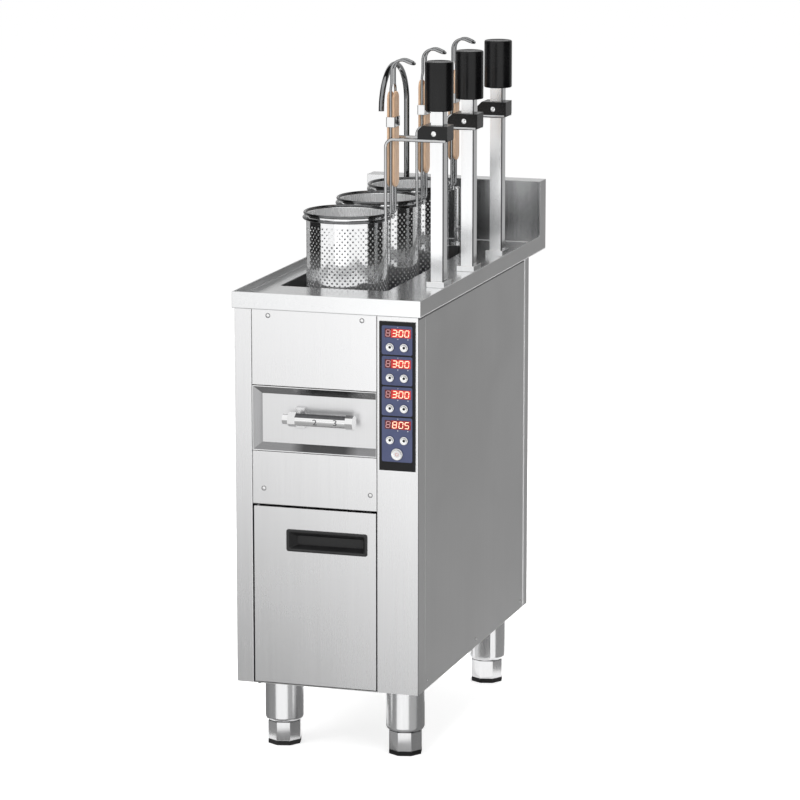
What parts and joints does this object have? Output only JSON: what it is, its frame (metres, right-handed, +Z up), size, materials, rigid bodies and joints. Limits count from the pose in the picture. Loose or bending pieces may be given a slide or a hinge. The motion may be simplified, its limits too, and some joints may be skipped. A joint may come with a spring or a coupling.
{
  "type": "pasta cooker",
  "caption": "Floor-standing automatic pasta cooker: narrow steel cabinet with a deep tank, wire baskets on powered lift posts, timers, drain lever, door and screw feet.",
  "frame": {"origin": "on the floor, under the middle of the outline box", "axes": "+Z up, the front with the timers and the door faces -Y, the lift posts are on the +X side"},
  "size_m": [0.33, 0.795, 1.1737],
  "materials": {
    "deck_steel": "polished",
    "cabinet_steel": "satin",
    "side_steel": "satin",
    "bright_steel": "polished",
    "basket_steel": "polished",
    "lever_steel": "satin",
    "button_metal": "satin",
    "black_plastic": "satin",
    "pull_plastic": "matte",
    "timer_face": "satin",
    "painted_box": "satin",
    "heater_sheath": "matte",
    "brass_fitting": "satin",
    "grip_wood": "oiled"
  },
  "bodies": {
    "cabinet": {"worktop": "deck_steel", "tank": "deck_steel", "left_stile": "cabinet_steel", "right_column": "cabinet_steel", "side_panels": "side_steel", "back_panel": "side_steel", "base_plate": "side_steel", "upper_panel": "cabinet_steel", "recess_pan": "cabinet_steel", "lower_panel": "cabinet_steel", "control_bezel": "black_plastic", "timer_faces": "timer_face", "control_box": "painted_box", "leg_tubes": "bright_steel", "panel_screws": "bright_steel", "post_collars": "bright_steel", "heaters": "heater_sheath", "lift_actuators": "painted_box", "drain_valve": "brass_fitting", "service_ports": "brass_fitting", "spout_base": "bright_steel", "level_probe": "bright_steel"},
    "door": {"door_panel": "cabinet_steel", "door_pull": "pull_plastic"},
    "spout": {"spout": "bright_steel"},
    "lever": {"drain_lever": "lever_steel"},
    "foot_1": {"foot_1": "bright_steel"},
    "foot_2": {"foot_2": "bright_steel"},
    "foot_3": {"foot_3": "bright_steel"},
    "foot_4": {"foot_4": "bright_steel"},
    "lift_1": {"lift_post_1": "bright_steel", "post_cap_1": "black_plastic", "lift_clamp_1": "black_plastic", "lift_bracket_1": "bright_steel"},
    "basket_1": {"basket_cup_1": "basket_steel", "basket_frame_1": "bright_steel", "basket_grip_1": "grip_wood"},
    "lift_2": {"lift_post_2": "bright_steel", "post_cap_2": "black_plastic", "lift_clamp_2": "black_plastic", "lift_bracket_2": "bright_steel"},
    "basket_2": {"basket_cup_2": "basket_steel", "basket_frame_2": "bright_steel", "basket_grip_2": "grip_wood"},
    "lift_3": {"lift_post_3": "bright_steel", "post_cap_3": "black_plastic", "lift_clamp_3": "black_plastic", "lift_bracket_3": "bright_steel"},
    "basket_3": {"basket_cup_3": "basket_steel", "basket_frame_3": "bright_steel", "basket_grip_3": "grip_wood"},
    "timer_1_start": {"timer_1_start": "button_metal"},
    "timer_1_set": {"timer_1_set": "button_metal"},
    "timer_2_start": {"timer_2_start": "button_metal"},
    "timer_2_set": {"timer_2_set": "button_metal"},
    "timer_3_start": {"timer_3_start": "button_metal"},
    "timer_3_set": {"timer_3_set": "button_metal"},
    "heat_less": {"heat_less": "button_metal"},
    "heat_more": {"heat_more": "button_metal"},
    "power_button": {"power_button": "button_metal"}
  },
  "joints": [
    {"name": "door_hinge", "type": "hinge", "parent": "cabinet", "child": "door", "pos_m": [-0.1225, -0.3645, 0.2835], "axis": [0, 0, -1], "range_deg": [0, 100]},
    {"name": "spout_swivel", "type": "hinge", "parent": "cabinet", "child": "spout", "pos_m": [-0.074, 0.3125, 0.85], "axis": [0, 0, 1], "range_deg": [-90, 30]},
    {"name": "drain_lever_turn", "type": "hinge", "parent": "cabinet", "child": "lever", "pos_m": [-0.0452, -0.385, 0.5915], "axis": [0, 1, 0], "range_deg": [0, 90]},
    {"name": "foot_1_screw", "type": "slide", "parent": "cabinet", "child": "foot_1", "axis": [0, 0, -1], "range_m": [0, 0.025]},
    {"name": "foot_2_screw", "type": "slide", "parent": "cabinet", "child": "foot_2", "axis": [0, 0, -1], "range_m": [0, 0.025]},
    {"name": "foot_3_screw", "type": "slide", "parent": "cabinet", "child": "foot_3", "axis": [0, 0, -1], "range_m": [0, 0.025]},
    {"name": "foot_4_screw", "type": "slide", "parent": "cabinet", "child": "foot_4", "axis": [0, 0, -1], "range_m": [0, 0.025]},
    {"name": "lift_1_slide", "type": "slide", "parent": "cabinet", "child": "lift_1", "axis": [0, 0, 1], "range_m": [0, 0.08]},
    {"name": "basket_1_out", "type": "slide", "parent": "lift_1", "child": "basket_1", "axis": [0, 0, 1], "range_m": [0, 0.15]},
    {"name": "lift_2_slide", "type": "slide", "parent": "cabinet", "child": "lift_2", "axis": [0, 0, 1], "range_m": [0, 0.08]},
    {"name": "basket_2_out", "type": "slide", "parent": "lift_2", "child": "basket_2", "axis": [0, 0, 1], "range_m": [0, 0.15]},
    {"name": "lift_3_slide", "type": "slide", "parent": "cabinet", "child": "lift_3", "axis": [0, 0, 1], "range_m": [0, 0.08]},
    {"name": "basket_3_out", "type": "slide", "parent": "lift_3", "child": "basket_3", "axis": [0, 0, 1], "range_m": [0, 0.05]},
    {"name": "timer_1_start_press", "type": "slide", "parent": "cabinet", "child": "timer_1_start", "axis": [0, 1, 0], "range_m": [0, 0.0012], "stiffness_N_per_m": 400},
    {"name": "timer_1_set_press", "type": "slide", "parent": "cabinet", "child": "timer_1_set", "axis": [0, 1, 0], "range_m": [0, 0.0012], "stiffness_N_per_m": 400},
    {"name": "timer_2_start_press", "type": "slide", "parent": "cabinet", "child": "timer_2_start", "axis": [0, 1, 0], "range_m": [0, 0.0012], "stiffness_N_per_m": 400},
    {"name": "timer_2_set_press", "type": "slide", "parent": "cabinet", "child": "timer_2_set", "axis": [0, 1, 0], "range_m": [0, 0.0012], "stiffness_N_per_m": 400},
    {"name": "timer_3_start_press", "type": "slide", "parent": "cabinet", "child": "timer_3_start", "axis": [0, 1, 0], "range_m": [0, 0.0012], "stiffness_N_per_m": 400},
    {"name": "timer_3_set_press", "type": "slide", "parent": "cabinet", "child": "timer_3_set", "axis": [0, 1, 0], "range_m": [0, 0.0012], "stiffness_N_per_m": 400},
    {"name": "heat_less_press", "type": "slide", "parent": "cabinet", "child": "heat_less", "axis": [0, 1, 0], "range_m": [0, 0.0012], "stiffness_N_per_m": 400},
    {"name": "heat_more_press", "type": "slide", "parent": "cabinet", "child": "heat_more", "axis": [0, 1, 0], "range_m": [0, 0.0012], "stiffness_N_per_m": 400},
    {"name": "power_button_press", "type": "slide", "parent": "cabinet", "child": "power_button", "axis": [0, 1, 0], "range_m": [0, 0.0012], "stiffness_N_per_m": 400}
  ]
}
